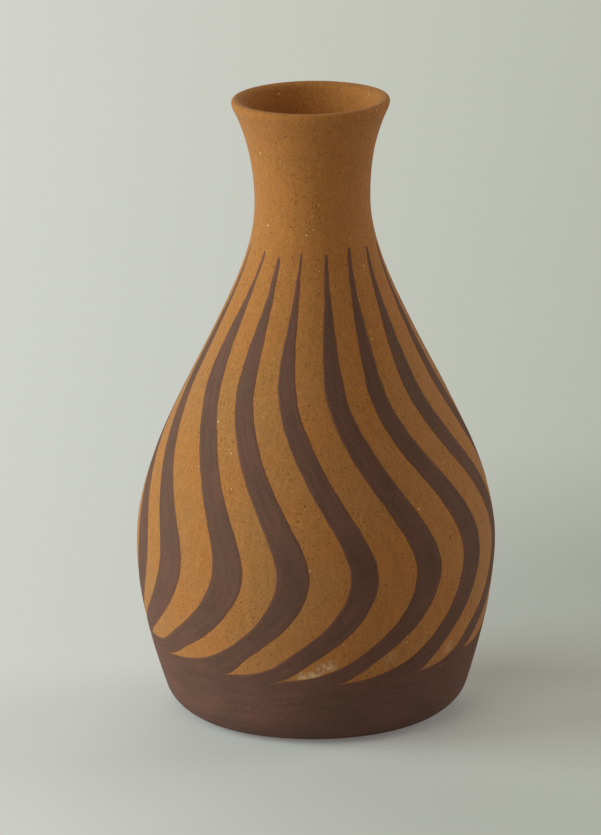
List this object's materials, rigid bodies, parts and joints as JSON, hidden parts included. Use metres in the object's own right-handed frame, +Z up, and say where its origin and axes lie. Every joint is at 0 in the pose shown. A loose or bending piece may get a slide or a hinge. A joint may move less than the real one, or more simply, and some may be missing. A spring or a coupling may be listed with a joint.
{
  "type": "clay vase",
  "caption": "Hand-built unglazed clay vase with a flared mouth, slim neck and low round belly, painted with hooked dark slip stripes that sweep into a dark foot band.",
  "frame": {"origin": "centre of the flat underside, on the surface that the vase stands on", "axes": "+Z up the vase's axis, -Y towards the viewer of the picture, +X to the viewer's right"},
  "size_m": [0.2046, 0.2046, 0.356],
  "materials": {
    "clay": "unglazed, smoothed by hand, matt, with fine grog specks",
    "slip": "brushed clay slip, fired matt"
  },
  "bodies": {
    "root": {"floor_disc": "clay", "foot_wall": "clay", "lower_belly_wall": "clay", "upper_belly_wall": "clay", "lower_shoulder_wall": "clay", "upper_shoulder_wall": "clay", "neck_wall": "clay", "rim_lip": "clay", "slip_foot_band": "slip", "slip_stripe_01": "slip", "slip_stripe_02": "slip", "slip_stripe_03": "slip", "slip_stripe_04": "slip", "slip_stripe_05": "slip", "slip_stripe_06": "slip", "slip_stripe_07": "slip", "slip_stripe_08": "slip", "slip_stripe_09": "slip", "slip_stripe_10": "slip", "slip_stripe_11": "slip", "slip_stripe_12": "slip", "slip_stripe_13": "slip", "slip_stripe_14": "slip", "slip_stripe_15": "slip", "slip_stripe_16": "slip"}
  },
  "joints": []
}
